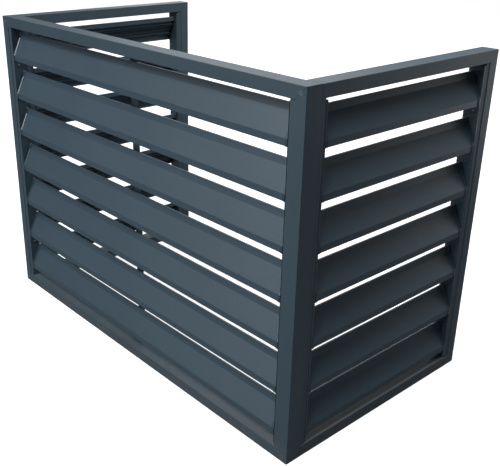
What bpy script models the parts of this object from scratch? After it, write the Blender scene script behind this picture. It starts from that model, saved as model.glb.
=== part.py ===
"""Louvred aluminium screen that stands round an outdoor air conditioner.

Three louvred panels stand in a U: the front and the two sides. The top and the wall side are open,
so the machine can be lifted in and its pipes reach the wall. The front panel is a mitred frame of
rectangular tube. Each side panel is two rails and a rear stile, butted against the front frame's back.
In every opening a channel stands at each end. A moulded strip lies on it, whose clips cap the blades'
ends and whose pegs hold the blades by the grooves on their backs.

Metres, +Z up. The origin is on the ground at the centre of the footprint, and the front faces -Y.
"""

import math
from dataclasses import dataclass

import bmesh
import bpy
from mathutils import Matrix, Vector

# Overall size of the screen
WIDTH = 1.100
DEPTH = 0.600
HEIGHT = 0.780

# Clearance between two pieces that touch, and how far a cutter runs past what it cuts
FIT_GAP = 0.0003
CUT_OVERRUN = 0.002

# Frame tube: the face is the side seen from outside, the depth is the panel's thickness
TUBE_FACE = 0.0265
TUBE_DEPTH = 0.040
TUBE_WALL = 0.0015
TUBE_EDGE = 0.0008

# Channel that stands at each end of an opening and carries the blades
CHANNEL_WIDTH = 0.0125
CHANNEL_SETBACK = 0.0015
CHANNEL_WALL = 0.0015

# Upright bar behind the middle of the front blades, with a tongue at each end
BAR_WIDTH = 0.025
BAR_THICKNESS = 0.0025
BAR_SETBACK = 0.0022
TONGUE_WIDTH = 0.012
TONGUE_LENGTH = 0.006

# Blades: a lip, a sloping face, a steeper flange and a hem turned down behind it
BLADE_COUNT = 7
BLADE_HEIGHT = 0.0724
BLADE_WALL = 0.0015
TOP_AIR_GAP = 0.0145
BOTTOM_AIR_GAP = 0.0247
RIGHT_BLADE_DROP = 0.004
NOSE_DEPTH = 0.0025
NOSE_RADIUS = 0.003
LIP_HEIGHT = 0.014
FLANGE_SLANT = 0.003
FLANGE_HEIGHT = 0.014
HEM_BACK = 0.0309
HEM_REACH = 0.0046
HEM_HEIGHT = 0.012

# Ribs on the back of the sloping face: two pairs make grooves for pegs, and the others stiffen it
RIB_THICKNESS = 0.0012
RIB_HEIGHT = 0.005
STIFFENER_HEIGHT = 0.003
GROOVE_SHARES = (0.82, 0.14)
STIFFENER_SHARES = (0.59, 0.46)

# Moulded strip on each channel, with a clip and two pegs for each blade
FRONT_STRIP_WALL = 0.001
SIDE_STRIP_WALL = 0.005
STRIP_END_GAP = 0.004
CLIP_THICKNESS = 0.0065
CLIP_PROUD = 0.002
CLIP_WAIST = 0.0045
CLIP_REACH = 0.0078
LOBE_HALF = 0.005
PEG_RADIUS = 0.002
PEG_BITE = 0.008
STUD_PROUD = 0.002

# Countersunk screws through the front frame's corners into the side rails
CORNER_SCREW_RADIUS = 0.0022
CORNER_SCREW_BITE = 0.024
CORNER_SCREW_HEAD_RADIUS = 0.0042
CORNER_SCREW_HEAD_HEIGHT = 0.0022

# Corner cleats inside the mitres, and plugs inside the side rails' front ends
CLEAT_LEG = 0.045
CLEAT_DEPTH = 0.020
PLUG_LENGTH = 0.030

# Sides of the small round shapes, and steps in the nose's arc
PEG_SIDES = 6
SCREW_SIDES = 8
NOSE_STEPS = 2
SMOOTH_ANGLE = math.radians(35)

# What follows from the sizes above
MITRE_DRAW = FIT_GAP / math.sqrt(2)
BAR_FRONT = TUBE_DEPTH - BAR_SETBACK - BAR_THICKNESS
CREST_DEPTH = HEM_BACK - HEM_REACH
LOWEST_BLADE = TUBE_FACE + BOTTOM_AIR_GAP
HIGHEST_BLADE = HEIGHT - TUBE_FACE - TOP_AIR_GAP - BLADE_HEIGHT
BLADE_PITCH = (HIGHEST_BLADE - LOWEST_BLADE) / (BLADE_COUNT - 1)
GROOVE_DEPTH = BLADE_WALL + FIT_GAP + PEG_RADIUS
SIDE_CENTRE = (TUBE_DEPTH - TUBE_FACE) / 2
CORNER_INSET = TUBE_FACE / 2


@dataclass(frozen=True)
class Opening:
    """An opening in a panel's frame and what differs in its louvres.

    The strip's wall is its thickness between two clips. The drop is how much lower its blades stand
    than the front's.
    """

    span: float
    strip_wall: float
    drop: float

    def foot(self, number):
        """Height of the lower edge of a blade, counted from the top."""
        return HIGHEST_BLADE - self.drop - (number - 1) * BLADE_PITCH

    def web_place(self):
        """Distance from the middle to the side of the channel's web that faces the blades."""
        return self.span / 2 - FIT_GAP - CHANNEL_WIDTH

    def blade_length(self):
        """Length of the blades between the clips."""
        return 2 * (self.web_place() - self.strip_wall - CLIP_THICKNESS - 2 * FIT_GAP)


SIDE_SPAN = DEPTH - TUBE_DEPTH - TUBE_FACE
FRONT_OPENING = Opening(WIDTH - 2 * TUBE_FACE, FRONT_STRIP_WALL, 0)
RIGHT_OPENING = Opening(SIDE_SPAN, SIDE_STRIP_WALL, RIGHT_BLADE_DROP)
LEFT_OPENING = Opening(SIDE_SPAN, SIDE_STRIP_WALL, 0)


def clear_scene():
    """Removes whatever the scene held."""
    for thing in list(bpy.data.objects):
        bpy.data.objects.remove(thing, do_unlink=True)


def finish(name, colour, roughness, metallic):
    """A plain finish with the piece's own colour, roughness and metallic value."""
    material = bpy.data.materials.new(name)
    material.use_nodes = True
    shader = material.node_tree.nodes["Principled BSDF"]
    shader.inputs["Base Color"].default_value = (*colour, 1)
    shader.inputs["Roughness"].default_value = roughness
    shader.inputs["Metallic"].default_value = metallic
    material.diffuse_color = (*colour, 1)
    return material


def frame_coat():
    """Anthracite powder coat on the frame tubes and the middle bar."""
    return finish("frame_coat", (0.047, 0.068, 0.083), 0.5, 0.0)


def blade_coat():
    """The same coat on the blades, which catch a little more light."""
    return finish("blade_coat", (0.060, 0.085, 0.103), 0.48, 0.0)


def channel_coat():
    """The same coat on the channels, which stand in the blades' shade."""
    return finish("channel_coat", (0.034, 0.052, 0.064), 0.52, 0.0)


def clip_nylon():
    """Dark nylon of the strips that hold the blades, and of the rails' plugs."""
    return finish("clip_nylon", (0.030, 0.038, 0.043), 0.4, 0.0)


def bare_aluminium():
    """Uncoated aluminium of the cleats inside the corners."""
    return finish("bare_aluminium", (0.60, 0.61, 0.62), 0.4, 1.0)


def painted_steel():
    """Grey painted steel of the corner screws."""
    return finish("painted_steel", (0.11, 0.14, 0.16), 0.4, 0.6)


def smooth(mesh):
    """Shades a mesh smooth, but for its sharp edges."""
    mesh.shade_smooth()
    mesh.set_sharp_from_angle(angle=SMOOTH_ANGLE)
    return mesh


def to_mesh(shape, name):
    """Turns a bmesh into a mesh with its faces outwards."""
    bmesh.ops.recalc_face_normals(shape, faces=shape.faces)
    mesh = bpy.data.meshes.new(name)
    shape.to_mesh(mesh)
    shape.free()
    return smooth(mesh)


def add_object(name, mesh, parent):
    """A linked object with this mesh, carried by its panel."""
    thing = bpy.data.objects.new(name, mesh)
    bpy.context.collection.objects.link(thing)
    thing.parent = parent
    return thing


def place(name, mesh, parent, material, location=(0, 0, 0), turn=(0, 0, 0)):
    """A named piece at a place and a turn within its panel."""
    if not mesh.materials:
        mesh.materials.append(bpy.data.materials[material])
    thing = add_object(name, mesh, parent)
    thing.location = location
    thing.rotation_euler = turn
    return thing


def panel_frame(name, location, turn):
    """An empty that carries one panel: local X runs along the panel and local Y runs inwards."""
    frame = add_object(name, None, None)
    frame.location = location
    frame.rotation_euler = (0, 0, turn)
    return frame


def cutter(name, mesh, parent):
    """An object that only cuts others."""
    thing = add_object(name, mesh, parent)
    thing.hide_render = True
    thing.display_type = "WIRE"
    return thing


def combine(thing, tool, operation):
    """Cuts another shape out of a piece, or joins it on."""
    modifier = thing.modifiers.new(operation.lower() + "_" + tool.name, "BOOLEAN")
    modifier.operation = operation
    modifier.object = tool


def cut(pieces, tools):
    """Cuts every tool out of every piece."""
    for piece in pieces:
        for tool in tools:
            combine(piece, tool, "DIFFERENCE")


def fused(name, base, additions):
    """One mesh made of a base and the meshes that are joined to it."""
    body = add_object(name, base, None)
    joined = [add_object(name + "_addition", addition, None) for addition in additions]
    for addition in joined:
        combine(body, addition, "UNION")
    bpy.context.view_layer.update()
    graph = bpy.context.evaluated_depsgraph_get()
    mesh = bpy.data.meshes.new_from_object(body.evaluated_get(graph))
    for thing in (body, *joined):
        bpy.data.objects.remove(thing)
    return smooth(mesh)


def extend(shape, face, move, widen=1.0):
    """Extrudes a face by a move, widens the new face about its centre and returns it."""
    made = bmesh.ops.extrude_face_region(shape, geom=[face, *face.edges])["geom"]
    new_face = next(part for part in made if isinstance(part, bmesh.types.BMFace))
    centre = new_face.calc_center_median()
    for corner in new_face.verts:
        corner.co = centre + (corner.co - centre) * widen + Vector(move)
    return new_face


def extruded(name, corners, move):
    """A solid from a flat outline of 3-D corners and the move that sweeps it."""
    shape = bmesh.new()
    extend(shape, shape.faces.new([shape.verts.new(corner) for corner in corners]), move)
    return to_mesh(shape, name)


def prism(name, outline, length):
    """A bar along X, centred, whose section is an outline of (depth, height) points."""
    return extruded(name, [(-length / 2, depth, height) for depth, height in outline], (length, 0, 0))


def box(name, low, high):
    """A box between two corners."""
    corners = ((low[0], low[1]), (high[0], low[1]), (high[0], high[1]), (low[0], high[1]))
    return extruded(name, [(along, depth, low[2]) for along, depth in corners], (0, 0, high[2] - low[2]))


def repeat(name, mesh, places):
    """One mesh that holds a separate copy of another at each place."""
    shape = bmesh.new()
    for matrix in places:
        first = len(shape.verts)
        shape.from_mesh(mesh)
        shape.verts.ensure_lookup_table()
        bmesh.ops.transform(shape, matrix=matrix, verts=shape.verts[first:])
    return to_mesh(shape, name)


def spindle(name, steps, sides):
    """A turned shape along X from (place, radius) steps, closed at both ends."""
    shape = bmesh.new()
    upright = Matrix.Rotation(math.radians(90), 4, "Y")
    bmesh.ops.create_circle(shape, cap_ends=True, segments=sides, radius=steps[0][1], matrix=upright)
    bmesh.ops.translate(shape, verts=shape.verts, vec=(steps[0][0], 0, 0))
    face = next(iter(shape.faces))
    for (place_before, radius_before), (place_after, radius_after) in zip(steps, steps[1:]):
        face = extend(shape, face, (place_after - place_before, 0, 0), radius_after / radius_before)
    return to_mesh(shape, name)


def is_outer_arris(edge):
    """True for a long edge at an outer corner of the tube."""
    first, second = (corner.co for corner in edge.verts)
    runs_along = abs(second.x - first.x) > TUBE_DEPTH
    at_side = min(first.y, TUBE_DEPTH - first.y) < TUBE_WALL / 2
    at_face = min(-first.z, TUBE_FACE + first.z) < TUBE_WALL / 2
    return runs_along and at_side and at_face


def tube(name, low, high, low_mitred, high_mitred):
    """A frame tube along X from low to high: outer face at Z = 0, body below it, depth along +Y.

    A mitred end is drawn in by as much as a point lies below the outer face.
    """
    shape = bmesh.new()
    corners = ((0, 0), (TUBE_DEPTH, 0), (TUBE_DEPTH, -TUBE_FACE), (0, -TUBE_FACE))
    section = shape.faces.new([shape.verts.new((low, depth, height)) for depth, height in corners])
    section.normal_update()
    ring = bmesh.ops.inset_region(
        shape, faces=[section], thickness=TUBE_WALL, use_even_offset=True, use_boundary=True)
    bmesh.ops.delete(shape, geom=[section], context="FACES_ONLY")
    made = bmesh.ops.extrude_face_region(shape, geom=ring["faces"])["geom"]
    far = [part for part in made if isinstance(part, bmesh.types.BMVert)]
    bmesh.ops.translate(shape, verts=far, vec=(high - low, 0, 0))
    edges = [edge for edge in shape.edges if is_outer_arris(edge)]
    bmesh.ops.bevel(shape, geom=edges, offset=TUBE_EDGE, segments=2, profile=0.5, affect="EDGES")
    middle = (low + high) / 2
    for corner in shape.verts:
        draw = MITRE_DRAW - corner.co.z
        if corner.co.x < middle:
            corner.co.x += draw if low_mitred else 0
        else:
            corner.co.x -= draw if high_mitred else 0
    return to_mesh(shape, name)


def offset_path(path, distance):
    """Moves a path sideways, to its right where the distance is positive, with mitred corners."""
    moved = []
    for number, point in enumerate(path):
        before = path[max(number - 1, 0)]
        after = path[min(number + 1, len(path) - 1)]
        into = (point - before).normalized() if number else (after - point).normalized()
        out = (after - point).normalized() if number < len(path) - 1 else into
        right_in = Vector((into.y, -into.x))
        right_out = Vector((out.y, -out.x))
        middle = (right_in + right_out).normalized()
        moved.append(point + middle * (distance / middle.dot(right_in)))
    return moved


def rounded(before, corner, after, radius, steps):
    """Points of an arc that rounds a corner."""
    towards = (before - corner).normalized()
    away = (after - corner).normalized()
    half = towards.angle(away) / 2
    centre = corner + (towards + away).normalized() * (radius / math.sin(half))
    start = corner + towards * (radius / math.tan(half)) - centre
    sweep = math.copysign(math.pi - 2 * half, away.cross(towards))
    return [centre + Matrix.Rotation(sweep * step / steps, 2) @ start for step in range(steps + 1)]


def blade_corners():
    """The blade's outer face, from the lip's foot to the hem's lower edge, as (depth, height)."""
    foot = Vector((NOSE_DEPTH, 0))
    nose = Vector((NOSE_DEPTH, LIP_HEIGHT))
    bend = Vector((CREST_DEPTH - FLANGE_SLANT, BLADE_HEIGHT - FLANGE_HEIGHT))
    crest = Vector((CREST_DEPTH, BLADE_HEIGHT))
    shoulder = Vector((HEM_BACK, BLADE_HEIGHT))
    hem = Vector((HEM_BACK, BLADE_HEIGHT - HEM_HEIGHT))
    return foot, nose, bend, crest, shoulder, hem


def face_length():
    """Length of the sloping face from the nose to the bend."""
    nose, bend = blade_corners()[1:3]
    return (bend - nose).length


def face_point(along, inwards):
    """A point on the sloping face: a distance up from the nose, and one inwards from the outside."""
    nose, bend = blade_corners()[1:3]
    up = (bend - nose).normalized()
    return nose + up * along + Vector((up.y, -up.x)) * inwards


def rib_spans():
    """Each rib on the blade's back, from the top down: its centre along the face and its height."""
    reach = PEG_RADIUS + FIT_GAP + RIB_THICKNESS / 2
    spans = [(share * face_length(), STIFFENER_HEIGHT) for share in STIFFENER_SHARES]
    for share in GROOVE_SHARES:
        spans.append((share * face_length() + reach, RIB_HEIGHT))
        spans.append((share * face_length() - reach, RIB_HEIGHT))
    return sorted(spans, reverse=True)


def blade_outline():
    """The blade's section: up the outer face, and back down the inner one with its ribs."""
    foot, nose, bend, crest, shoulder, hem = blade_corners()
    nose_arc = rounded(foot, nose, bend, NOSE_RADIUS, NOSE_STEPS)
    below_face = offset_path([foot, *nose_arc, bend], BLADE_WALL)[:-1]
    above_face = offset_path([nose, bend, crest, shoulder, hem], BLADE_WALL)[1:]
    ribs = []
    for centre, height in rib_spans():
        above, below = centre + RIB_THICKNESS / 2, centre - RIB_THICKNESS / 2
        ribs.append(face_point(above, BLADE_WALL))
        ribs.append(face_point(above, BLADE_WALL + height))
        ribs.append(face_point(below, BLADE_WALL + height))
        ribs.append(face_point(below, BLADE_WALL))
    outer = [foot, *nose_arc, bend, crest, shoulder, hem]
    return outer + above_face[::-1] + ribs + below_face[::-1]


def clip_outline():
    """The clip's section: just outside the blade in front, with a lobe behind each peg."""
    corners = blade_corners()
    rise = Vector((0, CLIP_PROUD))
    front = offset_path(corners, -CLIP_PROUD)
    outline = [*front[:-1], front[-1] - rise]
    outline.append(face_point(face_length(), CLIP_WAIST))
    for share in GROOVE_SHARES:
        centre = share * face_length()
        outline.append(face_point(centre + LOBE_HALF, CLIP_WAIST))
        outline.append(face_point(centre + LOBE_HALF / 2, CLIP_REACH))
        outline.append(face_point(centre - LOBE_HALF / 2, CLIP_REACH))
        outline.append(face_point(centre - LOBE_HALF, CLIP_WAIST))
    outline.append(corners[0] + Vector((BLADE_WALL + CLIP_PROUD, 0)))
    return outline


def peg_places(opening, numbers, end):
    """Where the pegs of these blades stand on the strip at one end, pointing at the blades."""
    turned = Matrix.Rotation(math.pi if end > 0 else 0, 4, "Z")
    places = []
    for number in numbers:
        for share in GROOVE_SHARES:
            depth, height = face_point(share * face_length(), GROOVE_DEPTH)
            places.append(Matrix.Translation((0, depth, opening.foot(number) + height)) @ turned)
    return places


def stud_holes(opening, end):
    """Cutters for the holes in a channel's web that take the strip's studs."""
    radius = PEG_RADIUS + FIT_GAP
    back = FIT_GAP + CHANNEL_WALL + CUT_OVERRUN
    pin = spindle("stud_hole", ((-back, radius), (CUT_OVERRUN, radius)), PEG_SIDES)
    return repeat("stud_holes", pin, peg_places(opening, (1, BLADE_COUNT), end))


def strip_mesh(opening, end):
    """The moulded strip at one end of an opening: its back is at X = 0 and its clips face the middle."""
    root = opening.strip_wall / 2
    tip = opening.strip_wall + CLIP_THICKNESS
    back = FIT_GAP + CHANNEL_WALL + STUD_PROUD
    near, far = sorted((0, -end * opening.strip_wall))
    foot = TUBE_FACE + STRIP_END_GAP
    low = (near, CHANNEL_SETBACK, foot)
    high = (far, TUBE_DEPTH - CHANNEL_SETBACK, HEIGHT - foot)
    clip = prism("clip", clip_outline(), tip - root)
    peg = spindle("peg", ((root, PEG_RADIUS), (tip + PEG_BITE, PEG_RADIUS)), PEG_SIDES)
    stud = spindle("stud", ((-back, PEG_RADIUS), (tip + PEG_BITE, PEG_RADIUS)), PEG_SIDES)
    numbers = range(1, BLADE_COUNT + 1)
    along = -end * (root + tip) / 2
    spots = [Matrix.Translation((along, 0, opening.foot(number))) for number in numbers]
    clips = repeat("clips", clip, spots)
    pegs = repeat("pegs", peg, peg_places(opening, numbers[1:-1], end))
    studs = repeat("studs", stud, peg_places(opening, (1, BLADE_COUNT), end))
    return fused("clip_strip", box("strip", low, high), (clips, pegs, studs))


def channel_mesh(end):
    """The end channel: a web at X = 0 that faces the blades, and two legs that reach to the stile."""
    front, back = CHANNEL_SETBACK, TUBE_DEPTH - CHANNEL_SETBACK
    outline = (
        (0, front),
        (CHANNEL_WIDTH, front),
        (CHANNEL_WIDTH, front + CHANNEL_WALL),
        (CHANNEL_WALL, front + CHANNEL_WALL),
        (CHANNEL_WALL, back - CHANNEL_WALL),
        (CHANNEL_WIDTH, back - CHANNEL_WALL),
        (CHANNEL_WIDTH, back),
        (0, back),
    )
    foot = TUBE_FACE + FIT_GAP
    corners = [(end * along, depth, foot) for along, depth in outline]
    return extruded("channel", corners, (0, 0, HEIGHT - 2 * foot))


def cleat_mesh():
    """An L-shaped cleat that fills two mitred tubes: corner at the origin, legs along -X and -Z."""
    near = TUBE_WALL + FIT_GAP
    far = TUBE_FACE - near
    outline = (
        (near, near), (CLEAT_LEG, near), (CLEAT_LEG, far), (far, far), (far, CLEAT_LEG), (near, CLEAT_LEG),
    )
    front = (TUBE_DEPTH - CLEAT_DEPTH) / 2
    return extruded("cleat", [(-along, front, -down) for along, down in outline], (0, CLEAT_DEPTH, 0))


def plug_mesh(rear):
    """A plug inside a side rail: front face at X = 0 and rail's outer face at Z = 0."""
    near = TUBE_WALL + FIT_GAP
    first, last = sorted((0, rear * PLUG_LENGTH))
    return box("plug", (first, near, near - TUBE_FACE), (last, TUBE_DEPTH - near, -near))


def screw_mesh():
    """A countersunk corner screw along X, with its head's face at the origin."""
    tip = TUBE_DEPTH + CORNER_SCREW_BITE
    steps = (
        (0, CORNER_SCREW_HEAD_RADIUS),
        (CORNER_SCREW_HEAD_HEIGHT, CORNER_SCREW_RADIUS),
        (tip, CORNER_SCREW_RADIUS),
    )
    return spindle("corner_screw", steps, SCREW_SIDES)


def screw_hole(name, side, height, parent):
    """The cutter for one corner screw's hole."""
    wide, narrow = CORNER_SCREW_HEAD_RADIUS + FIT_GAP, CORNER_SCREW_RADIUS + FIT_GAP
    tip = TUBE_DEPTH + CORNER_SCREW_BITE + FIT_GAP
    steps = ((-CUT_OVERRUN, wide), (0, wide), (CORNER_SCREW_HEAD_HEIGHT, narrow), (tip, narrow))
    tool = cutter(name + "_hole", spindle(name + "_hole", steps, SCREW_SIDES), parent)
    tool.location = (side * (WIDTH / 2 - CORNER_INSET), 0, height)
    tool.rotation_euler = (0, 0, math.radians(90))
    return tool


def bar_mesh():
    """The flat middle bar, whose tongues reach into the rails."""
    half, tongue, top = BAR_WIDTH / 2, TONGUE_WIDTH / 2, HEIGHT - 2 * (TUBE_FACE + FIT_GAP)
    foot, head = -TONGUE_LENGTH, top + TONGUE_LENGTH
    right = (
        (tongue, foot), (tongue, 0), (half, 0), (half, top), (tongue, top), (tongue, head),
    )
    left = [(-along, height) for along, height in reversed(right)]
    corners = [(along, 0, height) for along, height in (*right, *left)]
    return extruded("middle_bar", corners, (0, BAR_THICKNESS, 0))


def tongue_slots(parent):
    """The cutter for the slots in the front rails that take the bar's tongues."""
    half = TONGUE_WIDTH / 2 + FIT_GAP
    deep = TUBE_FACE - TONGUE_LENGTH - FIT_GAP
    front, back = BAR_FRONT - FIT_GAP, BAR_FRONT + BAR_THICKNESS + FIT_GAP
    low = (-half, front, deep)
    high = (half, back, TUBE_FACE + CUT_OVERRUN)
    slot = box("slot", low, high)
    upper = Matrix.Translation((0, 0, HEIGHT)) @ Matrix.Diagonal((1, 1, -1, 1))
    return cutter("tongue_slots", repeat("tongue_slots", slot, (Matrix.Identity(4), upper)), parent)


def add_blades(panel, parent, opening):
    """The panel's blades, which share one mesh."""
    mesh = prism(panel + "_blade", blade_outline(), opening.blade_length())
    for number in range(1, BLADE_COUNT + 1):
        place(f"{panel}_blade_{number}", mesh, parent, "blade_coat", (0, 0, opening.foot(number)))


def add_channel(name, end, parent, opening):
    """The channel at one end of an opening, and the strip that lies on it."""
    web = end * opening.web_place()
    channel = place(name + "_channel", channel_mesh(end), parent, "channel_coat", (web, 0, 0))
    holes = cutter(name + "_stud_holes", stud_holes(opening, end), parent)
    holes.location = (web - end * FIT_GAP, 0, 0)
    cut([channel], [holes])
    place(name + "_clip_strip", strip_mesh(opening, end), parent, "clip_nylon", holes.location)


def add_front_frame(parent):
    """The front panel's mitred frame: two rails and two stiles round the opening."""
    rail = tube("front_rail", -WIDTH / 2, WIDTH / 2, True, True)
    stile = tube("stile", -HEIGHT / 2, HEIGHT / 2, True, True)
    side, middle = WIDTH / 2, HEIGHT / 2
    quarter, half = math.radians(90), math.radians(180)
    top = place("front_top_rail", rail, parent, "frame_coat", (0, 0, HEIGHT))
    bottom = place("front_bottom_rail", rail, parent, "frame_coat", (0, 0, 0), (0, half, 0))
    left = place("front_left_stile", stile, parent, "frame_coat", (-side, 0, middle), (0, -quarter, 0))
    right = place("front_right_stile", stile, parent, "frame_coat", (side, 0, middle), (0, quarter, 0))
    return {"top": top, "bottom": bottom, "left": left, "right": right}


def add_cleat(name, mesh, parent, end, along, at_top):
    """One cleat in the corner at this end and height."""
    degrees = {(1, True): 0, (-1, True): -90, (1, False): 90, (-1, False): 180}
    turn = (0, math.radians(degrees[end, at_top]), 0)
    spot = (along, 0, HEIGHT if at_top else 0)
    return place(name + "_cleat", mesh, parent, "bare_aluminium", spot, turn)


def add_side_frame(panel, parent, rear):
    """A side panel's rails and rear stile. rear is the sign of the panel's X at the wall side."""
    butt = SIDE_SPAN / 2 - FIT_GAP
    mitre = SIDE_SPAN / 2 + TUBE_FACE
    low, high = sorted((-rear * butt, rear * mitre))
    top = tube(panel + "_top_rail", low, high, rear < 0, rear > 0)
    bottom = tube(panel + "_bottom_rail", -high, -low, rear > 0, rear < 0)
    stile = tube(panel + "_stile", -HEIGHT / 2, HEIGHT / 2, True, True)
    half, quarter = math.radians(180), math.radians(90)
    place(panel + "_top_rail", top, parent, "frame_coat", (0, 0, HEIGHT))
    place(panel + "_bottom_rail", bottom, parent, "frame_coat", (0, 0, 0), (0, half, 0))
    spot = (rear * mitre, 0, HEIGHT / 2)
    place(panel + "_rear_stile", stile, parent, "frame_coat", spot, (0, rear * quarter, 0))


def build_front():
    """The front panel. Returns its frame, its corner cleats and the empty that carries it."""
    parent = panel_frame("front_panel", (0, -DEPTH / 2, 0), 0)
    frame = add_front_frame(parent)
    for name, end in (("front_left", -1), ("front_right", 1)):
        add_channel(name, end, parent, FRONT_OPENING)
    add_blades("front", parent, FRONT_OPENING)
    place("front_middle_bar", bar_mesh(), parent, "frame_coat", (0, BAR_FRONT, TUBE_FACE + FIT_GAP))
    cut([frame["top"], frame["bottom"]], [tongue_slots(parent)])
    return frame, parent


def build_side(panel, side, opening):
    """A side panel. side is +1 for the right and -1 for the left; its rear is at local X of that sign."""
    parent = panel_frame(panel + "_panel", (side * WIDTH / 2, SIDE_CENTRE, 0), side * math.radians(90))
    add_side_frame(panel, parent, side)
    for name, end in (("front", -side), ("rear", side)):
        add_channel(f"{panel}_{name}", end, parent, opening)
    add_blades(panel, parent, opening)
    rear = side * (SIDE_SPAN / 2 + TUBE_FACE)
    for level in ("top", "bottom"):
        add_cleat(f"{panel}_{level}", cleat_mesh(), parent, side, rear, level == "top")
    return parent


def join_corner(panel, side, level, front, frame, side_parent):
    """A front corner: the cleat in the mitre, the plug in the side rail and the screw through both."""
    name = f"{panel}_{level}"
    at_top = level == "top"
    height = HEIGHT - CORNER_INSET if at_top else CORNER_INSET
    hole = screw_hole(name, side, height, front)
    cleat = add_cleat(f"front_{level}_{panel}", cleat_mesh(), front, side, side * WIDTH / 2, at_top)
    spot = (-side * (SIDE_SPAN / 2 - FIT_GAP), 0, HEIGHT if at_top else TUBE_FACE)
    plug = place(name + "_plug", plug_mesh(side), side_parent, "clip_nylon", spot)
    cut([frame[level], frame[panel], cleat, plug], [hole])
    place(name + "_screw", screw_mesh(), front, "painted_steel", hole.location, hole.rotation_euler)


def main():
    """Builds the whole screen."""
    clear_scene()
    for make in (frame_coat, blade_coat, channel_coat, clip_nylon, bare_aluminium, painted_steel):
        make()
    frame, front = build_front()
    for panel, side, opening in (("right", 1, RIGHT_OPENING), ("left", -1, LEFT_OPENING)):
        side_parent = build_side(panel, side, opening)
        for level in ("top", "bottom"):
            join_corner(panel, side, level, front, frame, side_parent)


main()
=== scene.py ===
"""Looks of the louvred screen that stands round an outdoor air conditioner.

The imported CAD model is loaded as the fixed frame. Tubes, channels, blades, clip strips, screws and the
middle bar are modelled again over it with their finer shapes. The cleats and plugs inside keep their CAD
shape and get a material. Metres, +Z up, the front faces -Y.
"""

import logging
import math
from dataclasses import dataclass, field
from enum import Enum
from functools import reduce

import bmesh
import bpy
from mathutils import Matrix, Vector


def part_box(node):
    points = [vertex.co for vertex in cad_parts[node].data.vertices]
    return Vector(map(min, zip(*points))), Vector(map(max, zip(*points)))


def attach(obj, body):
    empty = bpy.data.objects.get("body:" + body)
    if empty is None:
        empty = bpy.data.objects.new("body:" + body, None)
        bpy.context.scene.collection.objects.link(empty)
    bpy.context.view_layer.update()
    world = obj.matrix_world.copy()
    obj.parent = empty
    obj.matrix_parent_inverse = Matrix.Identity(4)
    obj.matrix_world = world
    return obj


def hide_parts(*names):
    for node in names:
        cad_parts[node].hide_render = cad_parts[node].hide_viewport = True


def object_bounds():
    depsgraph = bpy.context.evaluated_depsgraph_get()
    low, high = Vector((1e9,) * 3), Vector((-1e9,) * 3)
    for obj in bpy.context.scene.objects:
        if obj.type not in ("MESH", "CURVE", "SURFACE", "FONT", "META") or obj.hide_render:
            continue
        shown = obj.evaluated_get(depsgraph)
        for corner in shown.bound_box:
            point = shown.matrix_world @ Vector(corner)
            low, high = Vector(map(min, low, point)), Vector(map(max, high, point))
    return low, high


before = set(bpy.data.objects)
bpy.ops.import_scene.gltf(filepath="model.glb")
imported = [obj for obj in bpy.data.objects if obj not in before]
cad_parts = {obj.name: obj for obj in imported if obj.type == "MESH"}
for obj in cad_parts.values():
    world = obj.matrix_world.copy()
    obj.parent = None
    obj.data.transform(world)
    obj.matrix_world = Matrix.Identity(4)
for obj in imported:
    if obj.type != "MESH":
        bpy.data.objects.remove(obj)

LOG = logging.getLogger("screen")
CAD_LOW, CAD_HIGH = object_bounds()
MM = 0.001

# How near two places count as one, the clearance between two pieces, the angle of a sharp edge, a bevel's
# round profile, the range that most of a noise's values lie in, and the screwed corners
TOUCH = 0.01 * MM
FIT_GAP = 0.3 * MM
SHARP_ANGLE = math.radians(32)
ARC = {"profile": 0.5, "material": -1, "clamp_overlap": True}
NOISE_MIDDLE = (0.3, 0.7)
CORNERS = ("left_bottom", "left_top", "right_bottom", "right_top")

Pair = tuple[float, float]
Triple = tuple[float, float, float]
Colour = Triple
Section = list[Vector]
Tree = bpy.types.NodeTree
Socket = bpy.types.NodeSocket
Material = bpy.types.Material
Thing = bpy.types.Object
Mesh = bmesh.types.BMesh


# Nodes and node groups

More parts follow.
